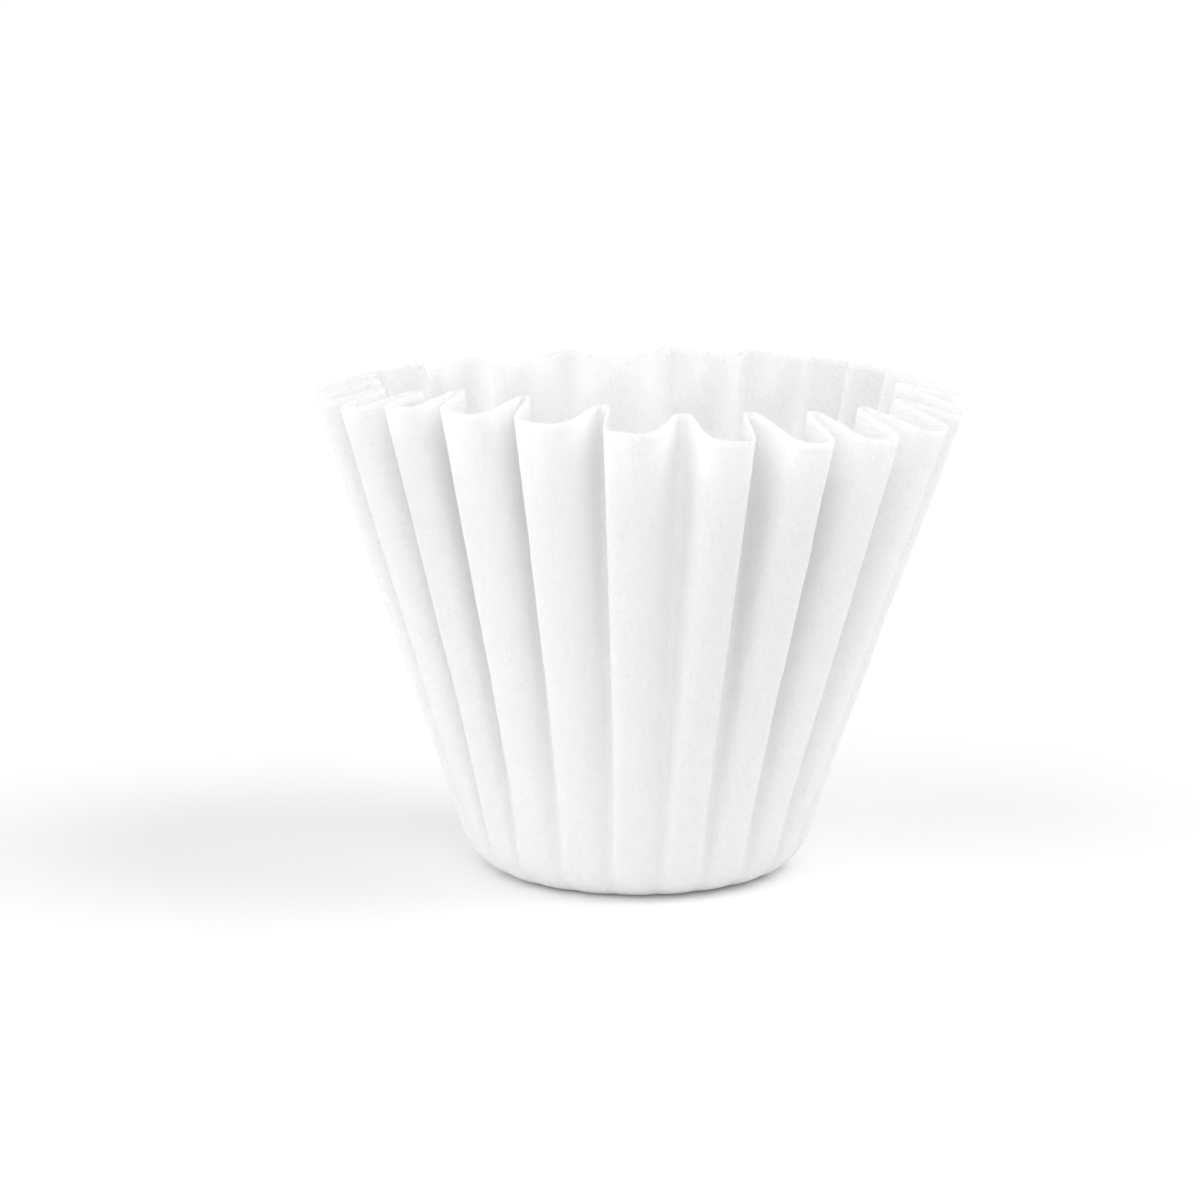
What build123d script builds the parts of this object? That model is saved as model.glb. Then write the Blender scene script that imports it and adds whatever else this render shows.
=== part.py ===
# Pleated paper coffee filter: one sheet, folded from a flat round blank.
# Millimetres and degrees, +Z up, origin at the middle of the underside of the floor.
# The wall is a ring of flutes. Each flute has a flat crown, two flanks and a narrow fold that
# points into the cup. Paper doesn't stretch, so every point of the blank's cut edge lies at the
# same distance from the floor's corner, and the inner folds stand a little above the crowns.
import os
from math import asin, cos, degrees, hypot, pi, radians, sin, sqrt, tan
from build123d import *

os.makedirs("parts", exist_ok=True)

# The blank and the folded cup
blank_dia = 185.0
paper_thick = 0.25
base_dia = 45.8
edge_radius = 7.6
crown_lean = 17.8

# The mouth is pressed oval: the wall leans out more along one line across the cup
oval_lean = 4.2
oval_turn = 47.0

# Flutes at the mouth and at the floor
flute_count = 22
first_fold = -8.9
crown_width = 5.8
crown_round = 1.6
fold_width = 1.5
fold_round = 0.55
low_crown_width = 4.4
low_crown_round = 0.8
low_fold_width = 0.5
low_fold_round = 0.22
low_fold_depth = 1.2

# How far each inner fold has drifted round the mouth from an even spacing, in degrees
fold_drift = [1.4, 1.0, -2.0, -5.0, -9.0, -12.0, -11.5, -10.5, -10.0, -9.5, -4.5,
              1.0, 9.0, 13.5, 11.0, 8.5, 6.0, 3.5, 2.5, 0.5, -2.5, -2.5]

# Sizes that follow from the ones above
pitch = 360.0 / flute_count
base_r = base_dia / 2
turn = 90.0 - crown_lean
floor_r = base_r - edge_radius * tan(radians(turn / 2))
edge_paper = edge_radius * radians(turn)
slant = blank_dia / 2 - floor_r - edge_paper + edge_radius * tan(radians(turn / 2))
top_level = slant + 4.0
wall_step = paper_thick / cos(radians(crown_lean))
guard_lean = crown_lean + oval_lean + 14.0
flank = (pi * blank_dia / flute_count - crown_width - fold_width) / 2


def polar(radius, turned):
    """A flat point at a radius and an angle; angle 0 faces -Y, +90 faces +X."""
    return (radius * sin(radians(turned)), -radius * cos(radians(turned)))


def lean_at(turned):
    """How far the crowns lean out at an angle round the oval mouth."""
    return crown_lean + oval_lean * cos(radians(2 * (turned - oval_turn)))


def fold_angle(k, at_mouth):
    """Where inner fold k stands, at the mouth or at the floor."""
    place = k % flute_count
    rounds_done = 360.0 * (k // flute_count)
    drift = fold_drift[place % len(fold_drift)] if at_mouth else 0.0
    return first_fold + pitch * place + rounds_done + drift


def fold_lean(k):
    """The flanks keep their length, so a wider flute is a shallower one."""
    at = fold_angle(k, True)
    room = radians(fold_angle(k + 1, True) - fold_angle(k - 1, True)) / 2
    mouth_r = base_r + slant * sin(radians(lean_at(at)))
    travel = (mouth_r * room - crown_width - fold_width) / 2
    depth = sqrt(max(flank ** 2 - travel ** 2, (flank / 2) ** 2))
    return lean_at(at) - 2 * degrees(asin(depth / 2 / slant))


def flute_corners(at_mouth):
    """Corner points and kinds of the wall's outer face at one level, flute by flute."""
    points = []
    rounds = []
    for k in range(flute_count):
        fold_at = fold_angle(k, at_mouth)
        next_fold = fold_angle(k + 1, at_mouth)
        crown_at = (fold_at + next_fold) / 2
        if at_mouth:
            crown_r = base_r + top_level * tan(radians(lean_at(crown_at)))
            fold_r = base_r + top_level * tan(radians(fold_lean(k)))
            next_r = base_r + top_level * tan(radians(fold_lean(k + 1)))
            crown_half = degrees(crown_width / 2 / crown_r)
            fold_half = degrees(fold_width / 2 / fold_r)
        else:
            crown_r = base_r
            fold_r = base_r - low_fold_depth
            next_r = fold_r
            crown_half = degrees(low_crown_width / 2 / crown_r)
            fold_half = degrees(low_fold_width / 2 / fold_r)
        points.append(polar(fold_r, fold_at + fold_half))
        points.append(polar(crown_r, crown_at - crown_half))
        points.append(polar(crown_r, crown_at + crown_half))
        points.append(polar(next_r, next_fold - fold_half))
        rounds += ["fold", "crown", "crown", "fold"]
    return points, rounds


def pushed_in(points, step):
    """The same corners moved into the cup, so that every side shifts by one step."""
    moved = []
    for i in range(len(points)):
        ax, ay = points[i - 1]
        bx, by = points[i]
        cx, cy = points[(i + 1) % len(points)]
        ab = hypot(bx - ax, by - ay)
        bc = hypot(cx - bx, cy - by)
        n1x, n1y = -(by - ay) / ab, (bx - ax) / ab
        n2x, n2y = -(cy - by) / bc, (cx - bx) / bc
        share = step / (1 + n1x * n2x + n1y * n2y)
        moved.append((bx + (n1x + n2x) * share, by + (n1y + n2y) * share))
    return moved


def corner_radii(kinds, crown, fold, step):
    """Crown corners get tighter and inner folds get wider as the outline moves in."""
    return [crown - step if kind == "crown" else fold + step for kind in kinds]


low_points, kinds = flute_corners(False)
top_points, kinds = flute_corners(True)

# The cavity: the same fluted shape one paper thickness further in, open at the top
with BuildPart() as cavity:
    with BuildSketch(Plane.XY):
        with BuildLine():
            FilletPolyline(
                *pushed_in(low_points, wall_step),
                radius=corner_radii(kinds, low_crown_round, low_fold_round, wall_step),
                close=True,
            )
        make_face()
    with BuildSketch(Plane.XY.offset(top_level)):
        with BuildLine():
            FilletPolyline(
                *pushed_in(top_points, wall_step),
                radius=corner_radii(kinds, crown_round, fold_round, wall_step),
                close=True,
            )
        make_face()
    loft(ruled=True)
    with BuildSketch(Plane.XZ):
        with BuildLine():
            floor_line = Line((0, paper_thick), (floor_r, paper_thick))
            edge_line = CenterArc(
                (floor_r, edge_radius), edge_radius - paper_thick, -90, 90 - guard_lean
            )
            side_line = PolarLine(edge_line @ 1, 2 * slant, angle=90 - guard_lean)
            Polyline(side_line @ 1, (0, (side_line @ 1).Y), (0, paper_thick))
        make_face()
    revolve(axis=Axis.Z, mode=Mode.INTERSECT)

# The sheet: fluted outside, flat floor, rounded edge, the blank's cut edge on top, cavity out
with BuildPart() as filter_paper:
    with BuildSketch(Plane.XY):
        with BuildLine():
            FilletPolyline(
                *low_points,
                radius=corner_radii(kinds, low_crown_round, low_fold_round, 0.0),
                close=True,
            )
        make_face()
    with BuildSketch(Plane.XY.offset(top_level)):
        with BuildLine():
            FilletPolyline(
                *top_points,
                radius=corner_radii(kinds, crown_round, fold_round, 0.0),
                close=True,
            )
        make_face()
    loft(ruled=True)
    with BuildSketch(Plane.XZ):
        with BuildLine():
            floor_line = Line((0, 0), (floor_r, 0))
            edge_line = CenterArc((floor_r, edge_radius), edge_radius, -90, 90 - guard_lean)
            guard_line = Line(
                edge_line @ 1,
                (base_r + slant * sin(radians(guard_lean)), slant * cos(radians(guard_lean))),
            )
            rim_line = CenterArc((base_r, 0), slant, 90 - guard_lean, guard_lean)
            Polyline(rim_line @ 1, (0, slant), (0, 0))
        make_face()
    revolve(axis=Axis.Z, mode=Mode.INTERSECT)
    add(cavity.part, mode=Mode.SUBTRACT)
filter_paper.part.label = "filter_paper"
export_step(filter_paper.part, "parts/filter_paper.step")
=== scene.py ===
"""Pleated paper coffee filter: one flat round blank, folded into a fluted cup, on a pale floor."""

import math

import bmesh
import bpy
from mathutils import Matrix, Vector, noise


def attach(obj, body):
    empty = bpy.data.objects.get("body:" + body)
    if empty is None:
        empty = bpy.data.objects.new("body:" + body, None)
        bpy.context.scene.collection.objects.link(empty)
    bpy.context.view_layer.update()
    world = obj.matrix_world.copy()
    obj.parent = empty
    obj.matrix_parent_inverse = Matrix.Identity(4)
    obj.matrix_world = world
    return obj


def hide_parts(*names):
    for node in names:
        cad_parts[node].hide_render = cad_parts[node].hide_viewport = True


bl_info = {
    "name": "Pleated Paper Filter",
    "version": (1, 0, 0),
    "blender": (4, 5, 0),
    "location": "View3D > Sidebar > Paper Filter",
    "description": "Folds a flat round paper blank into a fluted, flat-bottomed coffee filter",
    "category": "Object",
}

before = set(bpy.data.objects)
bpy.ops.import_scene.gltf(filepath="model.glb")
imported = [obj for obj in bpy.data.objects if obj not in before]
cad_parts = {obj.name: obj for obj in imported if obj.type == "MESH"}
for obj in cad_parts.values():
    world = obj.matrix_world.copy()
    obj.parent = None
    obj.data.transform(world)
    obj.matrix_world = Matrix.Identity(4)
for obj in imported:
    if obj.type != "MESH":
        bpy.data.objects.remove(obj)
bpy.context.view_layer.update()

MM = 0.001

# The ring of flutes. Angles are in degrees, 0 at the front and growing towards the right side.
# Each line is one flute: its left fold at the mouth, the left and right ends of its crown at the
# mouth, how softly those two ends turn, as a radius in millimetres, and how deep its left fold
# is beside an even one.
FLUTES = (
    (-7.5, -5.9, 2.6, 1.2, 2.8, 1.0),
    (9.0, 11.2, 18.8, 2.4, 1.1, 0.95),
    (22.3, 25.2, 31.8, 2.6, 1.0, 1.0),
    (35.0, 37.2, 44.4, 2.6, 0.9, 1.0),
    (47.3, 50.8, 58.2, 2.2, 1.4, 1.0),
    (60.6, 65.5, 72.5, 2.2, 1.6, 1.0),
    (78.0, 82.8, 90.0, 1.8, 1.8, 1.0),
    (95.0, 100.0, 107.4, 1.8, 1.6, 1.0),
    (112.0, 117.2, 124.2, 1.8, 1.8, 1.0),
    (129.0, 137.0, 145.0, 2.4, 2.4, 1.0),
    (150.0, 157.5, 165.0, 2.4, 3.0, 1.0),
    (172.0, 177.5, 189.0, 3.4, 4.0, 1.0),
    (196.0, 200.5, 208.0, 4.0, 1.6, 1.05),
    (216.5, 217.8, 225.0, 1.4, 1.8, 1.05),
    (231.0, 237.0, 244.0, 1.8, 1.6, 1.0),
    (247.5, 252.8, 259.5, 1.8, 1.6, 1.0),
    (262.5, 267.5, 273.8, 1.8, 1.4, 1.0),
    (276.8, 281.2, 287.6, 1.6, 1.6, 0.95),
    (290.6, 295.0, 300.6, 1.4, 1.6, 0.92),
    (302.4, 304.8, 313.6, 1.4, 2.4, 0.8),
    (312.2, 319.0, 330.6, 1.4, 3.2, 1.0),
    (332.2, 336.8, 347.2, 1.4, 3.2, 1.0),
)
# Points of paper across one flute.
STEPS = 26

# Places where the wall leans out more or less than its oval, in degrees: middle, width, extra lean.
LEAN_CHANGES = ((-68, 13, 3.2), (78, 11, -1.6))

# Lengths below are in metres.
MOUTH_RADIUS = 0.0455
# Width of a plain crown at the mouth, which the folds' depth is worked out from.
PLAIN_CROWN = 0.0058
# How softly a crown's two ends turn at the floor.
LOW_CROWN_SOFT = 0.0018
# How softly an inner fold turns, at the floor and at the mouth.
LOW_FOLD_SOFT = 0.0005
FOLD_SOFT = 0.001
# The least width of paper an even pleat keeps for its flanks.
LEAST_FLANKS = 0.0004
# A slanting line of paper is never drawn shorter than this share of its length.
LEAST_SHARE = 0.5
TINY = 1e-6

# Rings of points: four on the floor, close ones round its edge, then even ones up the wall.
FLOOR_RINGS = (0.004, 0.008, 0.012, 0.0155)
EDGE_STEP = 0.0008
EDGE_LENGTH = 0.0105
WALL_STEPS = 57

# Unevenness of the sheet: waves to the metre, slow and quick, the quick one's strength, and the
# length of wall over which it grows from nothing.
SLOW_WAVES = 90.0
QUICK_WAVES = 260.0
QUICK_STRENGTH = 0.45
QUICK_OFFSET = Vector((7.0, 3.0, 1.0))
CALM_LENGTH = 0.012

# The paper's darker clouds, beside its own colour.
CLOUD_SHADE = 0.975

# How far the floor reaches from its middle.
FLOOR_REACH = 3.0

# Lamps: name, place, size in metres and power in watts. They all look at LAMP_AIM.
LAMPS = (
    ("key_lamp", (-0.92, -0.55, 0.8), 1.7, 9.0),
    ("side_lamp", (0.77, -0.08, 0.95), 0.9, 6.4),
    ("front_lamp", (0.2, -1.2, 0.5), 0.9, 2.2),
)
LAMP_AIM = (0, 0, 0.035)

# The camera looks at the cup's middle, a little to its left and above it.
CUP_MIDDLE = Vector((0, 0, 0.0335))
AIM_LEFT = 0.00524
AIM_UP = 0.00442
# Width of the view at the cup's middle, and of the camera's sensor in millimetres.
VIEW_WIDTH = 0.16997
SENSOR = 36.0


class FilterPaperSizes(bpy.types.PropertyGroup):
    """Sizes of the blank and of the folded cup."""

    blank: bpy.props.FloatProperty(
        name="Blank", description="Width of the flat round blank", default=0.185, unit="LENGTH"
    )
    floor: bpy.props.FloatProperty(
        name="Floor",
        description="Width of the floor, to its sharp corner",
        default=0.0458,
        unit="LENGTH",
    )
    edge: bpy.props.FloatProperty(
        name="Edge",
        description="Radius of the turn from floor to wall",
        default=0.0076,
        unit="LENGTH",
    )
    paper: bpy.props.FloatProperty(
        name="Paper", description="Thickness of the paper", default=0.00025, unit="LENGTH"
    )
    lean: bpy.props.FloatProperty(
        name="Lean",
        description="How far the crowns lean out",
        default=math.radians(17.8),
        unit="ROTATION",
    )
    oval: bpy.props.FloatProperty(
        name="Oval",
        description="Extra lean along the mouth's long axis",
        default=math.radians(4.2),
        unit="ROTATION",
    )
    oval_turn: bpy.props.FloatProperty(
        name="Oval Turn",
        description="Angle of the mouth's long axis",
        default=math.radians(47.0),
        unit="ROTATION",
    )
    first_fold: bpy.props.FloatProperty(
        name="First Fold",
        description="Angle of the first fold at the floor",
        default=math.radians(-8.9),
        unit="ROTATION",
    )
    low_crown: bpy.props.FloatProperty(
        name="Low Crown", description="Width of a crown at the floor", default=0.0044, unit="LENGTH"
    )
    fold: bpy.props.FloatProperty(
        name="Fold",
        description="Width of an inner fold at the mouth",
        default=0.0015,
        unit="LENGTH",
    )
    low_fold: bpy.props.FloatProperty(
        name="Low Fold",
        description="Width of an inner fold at the floor",
        default=0.0005,
        unit="LENGTH",
    )
    swell: bpy.props.FloatProperty(
        name="Swell", description="How far a crown rounds outwards", default=0.0005, unit="LENGTH"
    )
    unevenness: bpy.props.FloatProperty(
        name="Unevenness",
        description="How far the paper strays from its plain folds",
        default=0.00016,
        unit="LENGTH",
    )


class PaperFinish(bpy.types.PropertyGroup):
    """Colour and grain of the paper."""

    colour: bpy.props.FloatVectorProperty(
        name="Colour",
        description="Colour of the paper",
        default=(0.975, 0.975, 0.978),
        size=3,
        subtype="COLOR",
    )
    grain: bpy.props.FloatProperty(
        name="Grain",
        description="Width of one streak of the crepe grain",
        default=0.0006,
        unit="LENGTH",
    )
    grain_depth: bpy.props.FloatProperty(
        name="Grain Depth", description="Height of the crepe grain", default=0.0003, unit="LENGTH"
    )


class StageLook(bpy.types.PropertyGroup):
    """Floor, lamps and camera."""

    floor_colour: bpy.props.FloatVectorProperty(
        name="Floor Colour",
        description="Colour of the floor",
        default=(0.85, 0.85, 0.85),
        size=3,
        subtype="COLOR",
    )
    floor_glow: bpy.props.FloatProperty(
        name="Floor Glow",
        description="Light the floor adds near the cup, to the camera only",
        default=0.08,
    )
    camera_distance: bpy.props.FloatProperty(
        name="Camera Distance",
        description="From the camera to the cup's middle",
        default=0.4934,
        unit="LENGTH",
    )
    camera_angle: bpy.props.FloatProperty(
        name="Camera Angle",
        description="How high the camera looks down from",
        default=math.radians(11.1),
        unit="ROTATION",
    )


def blend(a, b, share):
    """The value a given share of the way from a to b."""
    return a + (b - a) * share


def bump_at(angle, middle, width):
    """A smooth hill of height one, by the angle from its middle."""
    away = (angle - middle + math.pi) % (2 * math.pi) - math.pi
    return math.exp(-((away / width) ** 2))


class FoldedCup:
    """Where each point of the flat blank goes when the cup is folded. Lengths in metres."""

    def __init__(self, sizes):
        self.z = sizes
        self.count = len(FLUTES)
        self.pitch = 2 * math.pi / self.count
        self.rim = sizes.blank / 2
        half_turn = (math.pi / 2 - sizes.lean) / 2
        self.corner = sizes.floor / 2
        self.flat = self.corner - sizes.edge * math.tan(half_turn)

    def lean_at(self, angle):
        """How far a crown line leans out at this angle."""
        z = self.z
        lean = z.lean + z.oval * math.cos(2 * (angle - z.oval_turn))
        for middle, width, extra in LEAN_CHANGES:
            lean += math.radians(extra) * bump_at(angle, math.radians(middle), math.radians(width))
        return lean

    def meridian(self, s, lean):
        """Radius, height and inward direction of a crown line at paper distance s."""
        edge = self.z.edge
        turn = math.pi / 2 - lean
        if s <= self.flat:
            return s, 0.0, 0.0, 1.0
        along = s - self.flat
        if along <= edge * turn:
            a = along / edge
            radius = self.flat + edge * math.sin(a)
            return radius, edge * (1 - math.cos(a)), -math.sin(a), math.cos(a)
        rest = along - edge * turn
        radius = self.flat + edge * math.sin(turn) + rest * math.sin(lean)
        height = edge * (1 - math.cos(turn)) + rest * math.cos(lean)
        return radius, height, -math.cos(lean), math.sin(lean)

    def place(self, s, angle, depth):
        """A point of the paper that stands depth inside the crown line."""
        lean = self.lean_at(angle)
        run = s - self.flat
        if run > 0:
            least = LEAST_SHARE * run
            s = self.flat + math.sqrt(max(run * run - depth * depth, least * least))
        radius, height, in_r, in_z = self.meridian(s, lean)
        radius += depth * in_r
        height += depth * in_z
        return Vector((radius * math.sin(angle), -radius * math.cos(angle), height))

    def share(self, s):
        """How much of the way round its own line a fold has gone: straight creases."""
        t = min(1.0, max(0.0, (s - self.flat) / (self.rim - self.flat)))
        return t * MOUTH_RADIUS / ((1 - t) * self.corner + t * MOUTH_RADIUS)

    def corners(self, k, s):
        """Angles of flute k's left fold and crown ends at paper distance s, and their softness."""
        z = self.z
        fold_deg, left_deg, right_deg, soft_left, soft_right, _ = FLUTES[k % self.count]
        rounds = 2 * math.pi * (k // self.count)
        base_fold = z.first_fold + self.pitch * (k % self.count)
        base_mid = base_fold + self.pitch / 2
        base_half = z.low_crown / 2 / self.corner
        g = self.share(s)
        fold = blend(base_fold, math.radians(fold_deg), g) + rounds
        left = blend(base_mid - base_half, math.radians(left_deg), g) + rounds
        right = blend(base_mid + base_half, math.radians(right_deg), g) + rounds
        soft_left = blend(LOW_CROWN_SOFT, soft_left * MM, g)
        soft_right = blend(LOW_CROWN_SOFT, soft_right * MM, g)
        return fold, left, right, soft_left, soft_right

    def mean_depth(self, s, radius):
        """Depth of an even pleat: what is left over of the ring of paper goes into it."""
        if s <= self.flat:
            return 0.0
        paper = s * self.pitch
        room = radius * self.pitch
        g = self.share(s)
        held = blend(self.z.low_crown, PLAIN_CROWN, g) + blend(self.z.low_fold, self.z.fold, g)
        spare = (paper - room) / 2
        free = max((paper + room) / 2 - held, LEAST_FLANKS)
        return math.sqrt(max(spare, 0.0) * free)

    def fold_depth(self, k, s):
        """Depth of fold k: a flank keeps its length, so the more it slants the less deep it is."""
        fold, left = self.corners(k, s)[:2]
        before_right = self.corners(k - 1, s)[2]
        radius = self.meridian(s, self.lean_at(fold))[0]
        even = self.mean_depth(s, radius)
        if even <= 0:
            return 0.0
        g = self.share(s)
        travel = max(abs(left - fold), abs(fold - before_right)) * radius
        plain = (self.pitch * radius - blend(self.z.low_crown, PLAIN_CROWN, g)) / 2
        flank = math.sqrt(even * even + plain * plain)
        least = LEAST_SHARE * flank
        deep = math.sqrt(max(flank * flank - travel * travel, least * least))
        depth_share = FLUTES[k % self.count][-1]
        return blend(even, deep * depth_share, g)

    def section(self, k, s):
        """Points across flute k at paper distance s: angle and depth, fold to fold."""
        fold, left, right, soft_left, soft_right = self.corners(k, s)
        next_fold = self.corners(k + 1, s)[0]
        radius = max(self.meridian(s, self.lean_at((left + right) / 2))[0], TINY)
        g = self.share(s)
        depth_a = self.fold_depth(k, s)
        depth_b = self.fold_depth(k + 1, s)
        width = blend(self.z.low_fold, self.z.fold, g)
        half_a = width / 2 * radius / max(radius - depth_a, TINY)
        half_b = width / 2 * radius / max(radius - depth_b, TINY)
        xs = [v * radius for v in (fold, left, right, next_fold)]
        knots = [
            Vector((xs[0], depth_a)),
            Vector((xs[0] + half_a, depth_a)),
            Vector((xs[1], 0.0)),
            Vector((xs[2], 0.0)),
            Vector((xs[3] - half_b, depth_b)),
            Vector((xs[3], depth_b)),
        ]
        # For each turn: its softness, and how much of the line before and after it may take up.
        fold_soft = blend(LOW_FOLD_SOFT, FOLD_SOFT, g)
        turns = {
            1: (fold_soft, 0.8, 0.4),
            2: (soft_left, 0.46, 0.46),
            3: (soft_right, 0.46, 0.46),
            4: (fold_soft, 0.4, 0.8),
        }
        ins = list(knots)
        outs = list(knots)
        for i, (soft, back_share, ahead_share) in turns.items():
            back = knots[i - 1] - knots[i]
            ahead = knots[i + 1] - knots[i]
            reach = min(soft, back_share * back.length, ahead_share * ahead.length)
            ins[i] = knots[i] + back.normalized() * reach
            outs[i] = knots[i] + ahead.normalized() * reach

        def turned(i, share):
            a = ins[i].lerp(knots[i], share)
            b = knots[i].lerp(outs[i], share)
            return a.lerp(b, share)

        points = [knots[0]]
        points += [turned(1, j / 2) for j in range(3)]
        points += [outs[1].lerp(ins[2], j / 4) for j in range(1, 4)]
        points += [turned(2, j / 4) for j in range(5)]
        points += [outs[2].lerp(ins[3], j / 4) for j in range(1, 4)]
        points += [turned(3, j / 4) for j in range(5)]
        points += [outs[3].lerp(ins[4], j / 4) for j in range(1, 4)]
        points += [turned(4, j / 2) for j in range(3)]
        # The crown rounds outwards a little between its two ends.
        middle = (xs[1] + xs[2]) / 2
        half = max((xs[2] - xs[1]) / 2, TINY)
        swell = self.z.swell * g * (1.5 - g)
        for p in points:
            across = (p.x - middle) / half
            if abs(across) < 1:
                p.y -= swell * (1 - across * across)
        return [(p.x / radius, p.y) for p in points]

    def ring(self, s):
        """All points round the cup at paper distance s: place in the cup, and on the flat blank.

        The points are evenly spaced at the middle of the floor, and reach the flutes' own
        spacing at the end of its flat part.
        """
        out = []
        radius = max(self.meridian(s, self.z.lean)[0], TINY)
        out_share = min(1.0, s / self.flat)
        for k in range(self.count):
            across = self.section(k, s)
            first = self.z.first_fold + self.pitch * k
            lengths = [0.0]
            closing = self.section((k + 1) % self.count, s)[0]
            turn = 2 * math.pi if k == self.count - 1 else 0.0
            ends = across[1:] + [(closing[0] + turn, closing[1])]
            for (a0, d0), (a1, d1) in zip(across, ends):
                lengths.append(lengths[-1] + math.hypot((a1 - a0) * radius, d1 - d0))
            for j, ((angle, depth), gone) in enumerate(zip(across, lengths)):
                flat_angle = first + self.pitch * gone / lengths[-1]
                even = first + self.pitch * j / STEPS
                angle = blend(even, angle, out_share)
                flat_angle = blend(even, flat_angle, out_share)
                flat_place = Vector((s * math.sin(flat_angle), -s * math.cos(flat_angle)))
                rise = self.unevenness(flat_place, s)
                out.append((self.place(s, angle, depth + rise), flat_place))
        return out

    def unevenness(self, flat_place, s):
        """A soft wander of the sheet, in waves of a few millimetres across the flat blank."""
        fade = min(1.0, max(0.0, (s - self.flat) / CALM_LENGTH))
        p = Vector((flat_place.x, flat_place.y, 0.0))
        slow = noise.noise(p * SLOW_WAVES)
        quick = noise.noise(p * QUICK_WAVES + QUICK_OFFSET)
        return self.z.unevenness * fade * (slow + QUICK_STRENGTH * quick)


def ring_distances(cup):
    """Paper distances of the rings of points, closer together round the edge of the floor."""
    rings = list(FLOOR_RINGS)
    s = cup.flat
    while s < cup.flat + EDGE_LENGTH:
        rings.append(s)
        s += EDGE_STEP
    for i in range(WALL_STEPS + 1):
        rings.append(s + (cup.rim - s) * i / WALL_STEPS)
    return rings


def make_paper(name, finish):
    """White crepe paper: a fine streaky grain, a faint cloud in the white, a dry matt surface."""
    material = bpy.data.materials.new(name)
    material.use_nodes = True
    nodes = material.node_tree.nodes
    links = material.node_tree.links
    nodes.clear()
    out = nodes.new("ShaderNodeOutputMaterial")
    shader = nodes.new("ShaderNodeBsdfPrincipled")
    links.new(shader.outputs["BSDF"], out.inputs["Surface"])
    flat_map = nodes.new("ShaderNodeUVMap")
    flat_map.uv_map = "flat_blank"
    turn = nodes.new("ShaderNodeMapping")
    turn.inputs["Rotation"].default_value = (0, 0, math.radians(35))
    turn.inputs["Scale"].default_value = (1.0, 0.55, 1.0)
    links.new(flat_map.outputs["UV"], turn.inputs["Vector"])
    streaks = nodes.new("ShaderNodeTexNoise")
    streaks.inputs["Scale"].default_value = 1.0 / finish.grain
    streaks.inputs["Detail"].default_value = 2.5
    streaks.inputs["Roughness"].default_value = 0.6
    streaks.inputs["Distortion"].default_value = 0.9
    links.new(turn.outputs["Vector"], streaks.inputs["Vector"])
    cloud = nodes.new("ShaderNodeTexNoise")
    cloud.inputs["Scale"].default_value = 160.0
    cloud.inputs["Detail"].default_value = 3.0
    links.new(flat_map.outputs["UV"], cloud.inputs["Vector"])
    mottle = nodes.new("ShaderNodeMixRGB")
    mottle.inputs["Color1"].default_value = (*[c * CLOUD_SHADE for c in finish.colour], 1)
    mottle.inputs["Color2"].default_value = (*finish.colour, 1)
    links.new(cloud.outputs["Fac"], mottle.inputs["Fac"])
    links.new(mottle.outputs["Color"], shader.inputs["Base Color"])
    bump = nodes.new("ShaderNodeBump")
    bump.inputs["Strength"].default_value = 1.0
    bump.inputs["Distance"].default_value = finish.grain_depth
    links.new(streaks.outputs["Fac"], bump.inputs["Height"])
    links.new(bump.outputs["Normal"], shader.inputs["Normal"])
    shader.inputs["Roughness"].default_value = 0.9
    shader.inputs["Specular IOR Level"].default_value = 0.25
    shader.inputs["Subsurface Weight"].default_value = 1.0
    shader.inputs["Subsurface Radius"].default_value = (1.0, 1.0, 1.0)
    shader.inputs["Subsurface Scale"].default_value = 0.001
    return material


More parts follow.
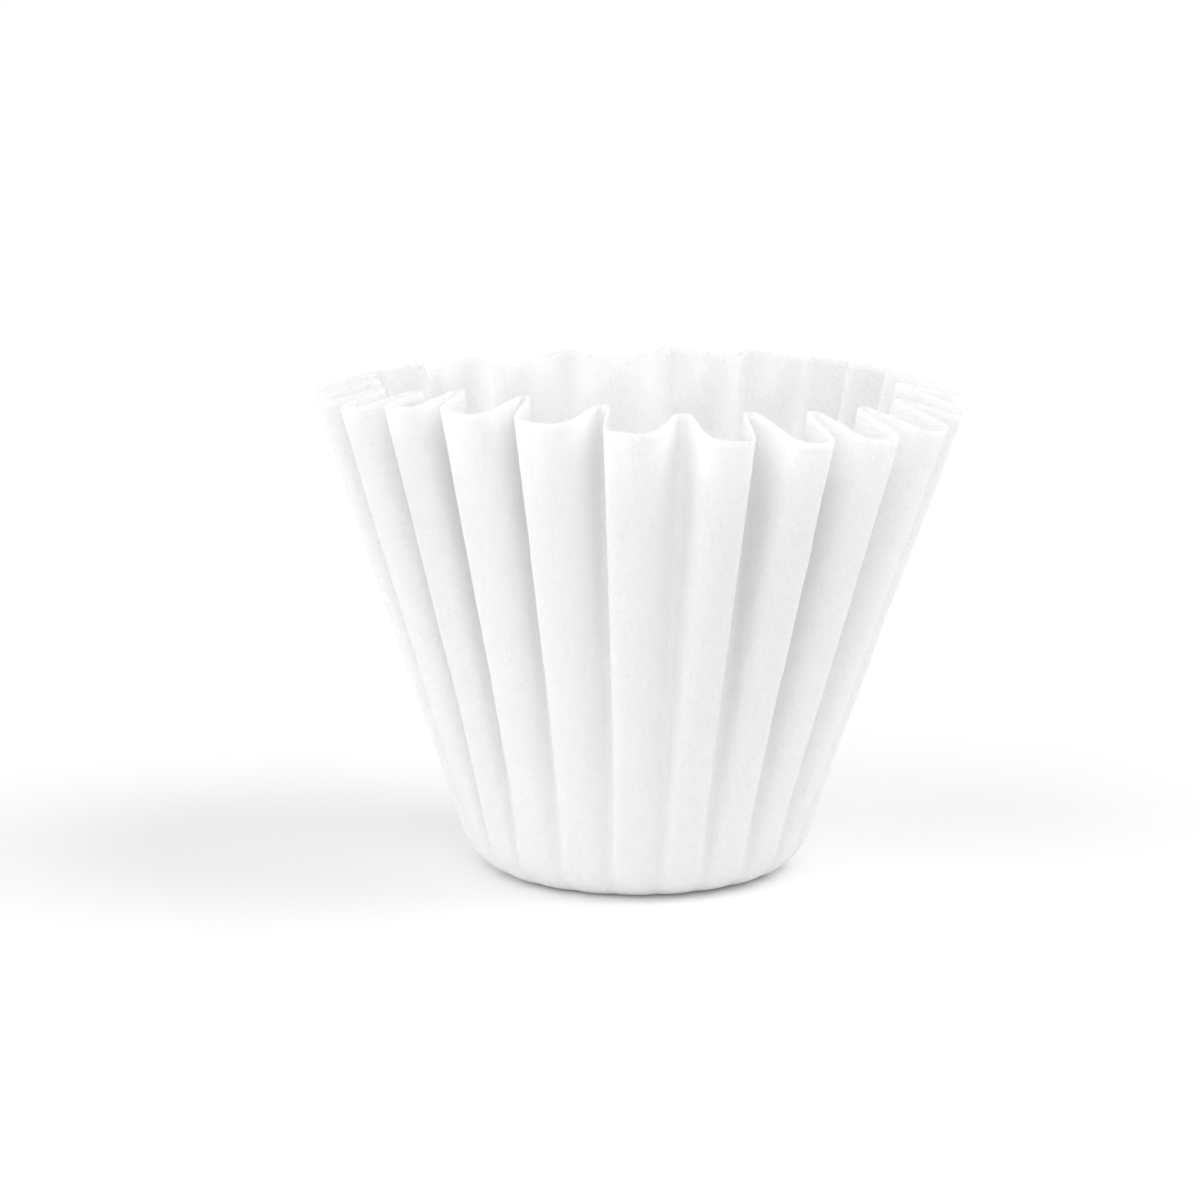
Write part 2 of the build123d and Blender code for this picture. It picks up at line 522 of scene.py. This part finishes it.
class FILTER_OT_fold_paper(bpy.types.Operator):
    """Cut the round blank, fold it into the fluted cup and give it its paper finish"""

    bl_idname = "filter.fold_paper"
    bl_label = "Fold the Paper"

    def execute(self, context):
        sizes = context.scene.filter_sizes
        finish = context.scene.paper_finish
        cup = FoldedCup(sizes)
        rings = ring_distances(cup)
        columns = cup.count * STEPS
        mesh = bpy.data.meshes.new("filter_paper_sheet")
        bm = bmesh.new()
        spoke = [bm.verts.new((0.0, -s, 0.0)) for s in [0.0] + rings]
        edges = [bm.edges.new(pair) for pair in zip(spoke, spoke[1:])]
        bmesh.ops.spin(
            bm,
            geom=spoke + edges,
            cent=(0, 0, 0),
            axis=(0, 0, 1),
            angle=2 * math.pi,
            steps=columns,
            use_merge=True,
            use_duplicate=False,
        )
        bmesh.ops.remove_doubles(bm, verts=bm.verts, dist=1e-7)

        # Each point of the flat disc is found by its ring, to the nearest few micrometres, and
        # by its column round the ring.
        ring_number = {}
        for i, s in enumerate(rings):
            for near in range(-3, 4):
                ring_number[round(s * 1e6) + near] = i
        flat_places = {}
        by_ring = {}
        for v in bm.verts:
            s = math.hypot(v.co.x, v.co.y)
            if s < rings[0] / 2:
                flat_places[v] = Vector((0, 0))
                continue
            column = round(math.atan2(v.co.x, -v.co.y) / (2 * math.pi) * columns) % columns
            by_ring.setdefault(ring_number[round(s * 1e6)], {})[column] = v
        for i, members in by_ring.items():
            if len(members) != columns:
                raise RuntimeError(f"ring {i} has {len(members)} points, not {columns}")
            for column, (place, flat_place) in enumerate(cup.ring(rings[i])):
                v = members[column]
                v.co = place
                flat_places[v] = flat_place
        uv = bm.loops.layers.uv.new("flat_blank")
        for face in bm.faces:
            face.smooth = True
            for loop in face.loops:
                loop[uv].uv = flat_places[loop.vert]
        # The faces look outwards, so those of the floor look down.
        bmesh.ops.recalc_face_normals(bm, faces=bm.faces)
        floor_face = min(bm.faces, key=lambda f: f.calc_center_median().length)
        if floor_face.normal.z > 0:
            bmesh.ops.reverse_faces(bm, faces=bm.faces)
        bm.to_mesh(mesh)
        bm.free()
        sheet = bpy.data.objects.new("filter_paper_sheet", mesh)
        context.scene.collection.objects.link(sheet)
        sheet.data.materials.append(make_paper("white_crepe_paper", finish))
        wall = sheet.modifiers.new("paper thickness", "SOLIDIFY")
        wall.thickness = sizes.paper
        wall.offset = -1.0
        wall.use_even_offset = True
        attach(sheet, "root")
        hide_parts("filter_paper")
        return {"FINISHED"}


def make_floor(name, look):
    """Matt floor that glows for the camera, the more the further it is from the cup."""
    material = bpy.data.materials.new(name)
    material.use_nodes = True
    nodes = material.node_tree.nodes
    links = material.node_tree.links
    nodes.clear()
    out = nodes.new("ShaderNodeOutputMaterial")
    shader = nodes.new("ShaderNodeBsdfPrincipled")
    shader.inputs["Base Color"].default_value = (*look.floor_colour, 1)
    shader.inputs["Roughness"].default_value = 0.8
    shader.inputs["Specular IOR Level"].default_value = 0.0
    place = nodes.new("ShaderNodeTexCoord")
    away = nodes.new("ShaderNodeVectorMath")
    away.operation = "LENGTH"
    links.new(place.outputs["Object"], away.inputs[0])
    fade = nodes.new("ShaderNodeMapRange")
    fade.inputs["From Min"].default_value = 0.12
    fade.inputs["From Max"].default_value = 1.0
    fade.inputs["To Min"].default_value = look.floor_glow
    fade.inputs["To Max"].default_value = 0.75
    links.new(away.outputs["Value"], fade.inputs["Value"])
    path = nodes.new("ShaderNodeLightPath")
    seen = nodes.new("ShaderNodeMath")
    seen.operation = "MULTIPLY"
    links.new(path.outputs["Is Camera Ray"], seen.inputs[0])
    links.new(fade.outputs["Result"], seen.inputs[1])
    glow = nodes.new("ShaderNodeEmission")
    links.new(seen.outputs[0], glow.inputs["Strength"])
    both = nodes.new("ShaderNodeAddShader")
    links.new(shader.outputs["BSDF"], both.inputs[0])
    links.new(glow.outputs["Emission"], both.inputs[1])
    links.new(both.outputs["Shader"], out.inputs["Surface"])
    return material


def make_world(name):
    """White all round: soft light on the scene, and full white for the camera."""
    world = bpy.data.worlds.new(name)
    world.use_nodes = True
    nodes = world.node_tree.nodes
    links = world.node_tree.links
    nodes.clear()
    out = nodes.new("ShaderNodeOutputWorld")
    soft = nodes.new("ShaderNodeBackground")
    soft.inputs["Color"].default_value = (1, 1, 1, 1)
    soft.inputs["Strength"].default_value = 0.60
    white = nodes.new("ShaderNodeBackground")
    white.inputs["Color"].default_value = (1, 1, 1, 1)
    white.inputs["Strength"].default_value = 1.0
    path = nodes.new("ShaderNodeLightPath")
    mix = nodes.new("ShaderNodeMixShader")
    links.new(path.outputs["Is Camera Ray"], mix.inputs["Fac"])
    links.new(soft.outputs["Background"], mix.inputs[1])
    links.new(white.outputs["Background"], mix.inputs[2])
    links.new(mix.outputs["Shader"], out.inputs["Surface"])
    return world


def add_lamp(name, place, size, power):
    """A soft round lamp that looks at LAMP_AIM."""
    data = bpy.data.lights.new(name, "AREA")
    data.shape = "DISK"
    data.size = size
    data.energy = power
    lamp = bpy.data.objects.new(name, data)
    lamp.location = place
    lamp.rotation_euler = (Vector(LAMP_AIM) - Vector(place)).to_track_quat("-Z", "Y").to_euler()
    bpy.context.scene.collection.objects.link(lamp)


class FILTER_OT_set_stage(bpy.types.Operator):
    """Lay the pale floor, hang the lamps and place the camera"""

    bl_idname = "filter.set_stage"
    bl_label = "Set the Stage"

    def execute(self, context):
        scene = context.scene
        look = scene.stage_look
        mesh = bpy.data.meshes.new("pale_floor")
        bm = bmesh.new()
        bmesh.ops.create_grid(bm, x_segments=1, y_segments=1, size=FLOOR_REACH)
        bm.to_mesh(mesh)
        bm.free()
        floor = bpy.data.objects.new("pale_floor", mesh)
        scene.collection.objects.link(floor)
        floor.data.materials.append(make_floor("pale_floor", look))

        scene.world = make_world("plain_studio")
        for name, place, size, power in LAMPS:
            add_lamp(name, place, size, power)

        data = bpy.data.cameras.new("camera")
        data.sensor_width = SENSOR
        data.lens = SENSOR * look.camera_distance / VIEW_WIDTH
        data.clip_start = 0.01
        data.clip_end = 20.0
        camera = bpy.data.objects.new("camera", data)
        tilt = look.camera_angle
        back = Vector((0, -math.cos(tilt), math.sin(tilt)))
        camera.location = CUP_MIDDLE + back * look.camera_distance
        up = Vector((0, math.sin(tilt), math.cos(tilt)))
        aim = CUP_MIDDLE - Vector((1, 0, 0)) * AIM_LEFT + up * AIM_UP
        camera.rotation_euler = (aim - camera.location).to_track_quat("-Z", "Y").to_euler()
        scene.collection.objects.link(camera)
        scene.camera = camera
        scene.view_settings.view_transform = "Standard"
        return {"FINISHED"}


class FILTER_PT_sidebar(bpy.types.Panel):
    """Steps that make the paper filter"""

    bl_label = "Paper Filter"
    bl_idname = "FILTER_PT_sidebar"
    bl_space_type = "VIEW_3D"
    bl_region_type = "UI"
    bl_category = "Paper Filter"

    def draw(self, context):
        layout = self.layout
        scene = context.scene
        for group in (scene.filter_sizes, scene.paper_finish, scene.stage_look):
            box = layout.box()
            for name in group.__annotations__:
                box.prop(group, name)
        layout.operator(FILTER_OT_fold_paper.bl_idname)
        layout.operator(FILTER_OT_set_stage.bl_idname)


CLASSES = (
    FilterPaperSizes,
    PaperFinish,
    StageLook,
    FILTER_OT_fold_paper,
    FILTER_OT_set_stage,
    FILTER_PT_sidebar,
)


def register():
    for cls in CLASSES:
        bpy.utils.register_class(cls)
    bpy.types.Scene.filter_sizes = bpy.props.PointerProperty(type=FilterPaperSizes)
    bpy.types.Scene.paper_finish = bpy.props.PointerProperty(type=PaperFinish)
    bpy.types.Scene.stage_look = bpy.props.PointerProperty(type=StageLook)


def unregister():
    del bpy.types.Scene.stage_look
    del bpy.types.Scene.paper_finish
    del bpy.types.Scene.filter_sizes
    for cls in reversed(CLASSES):
        bpy.utils.unregister_class(cls)


def main():
    register()
    bpy.ops.filter.fold_paper()
    bpy.ops.filter.set_stage()


if __name__ == "__main__":
    main()
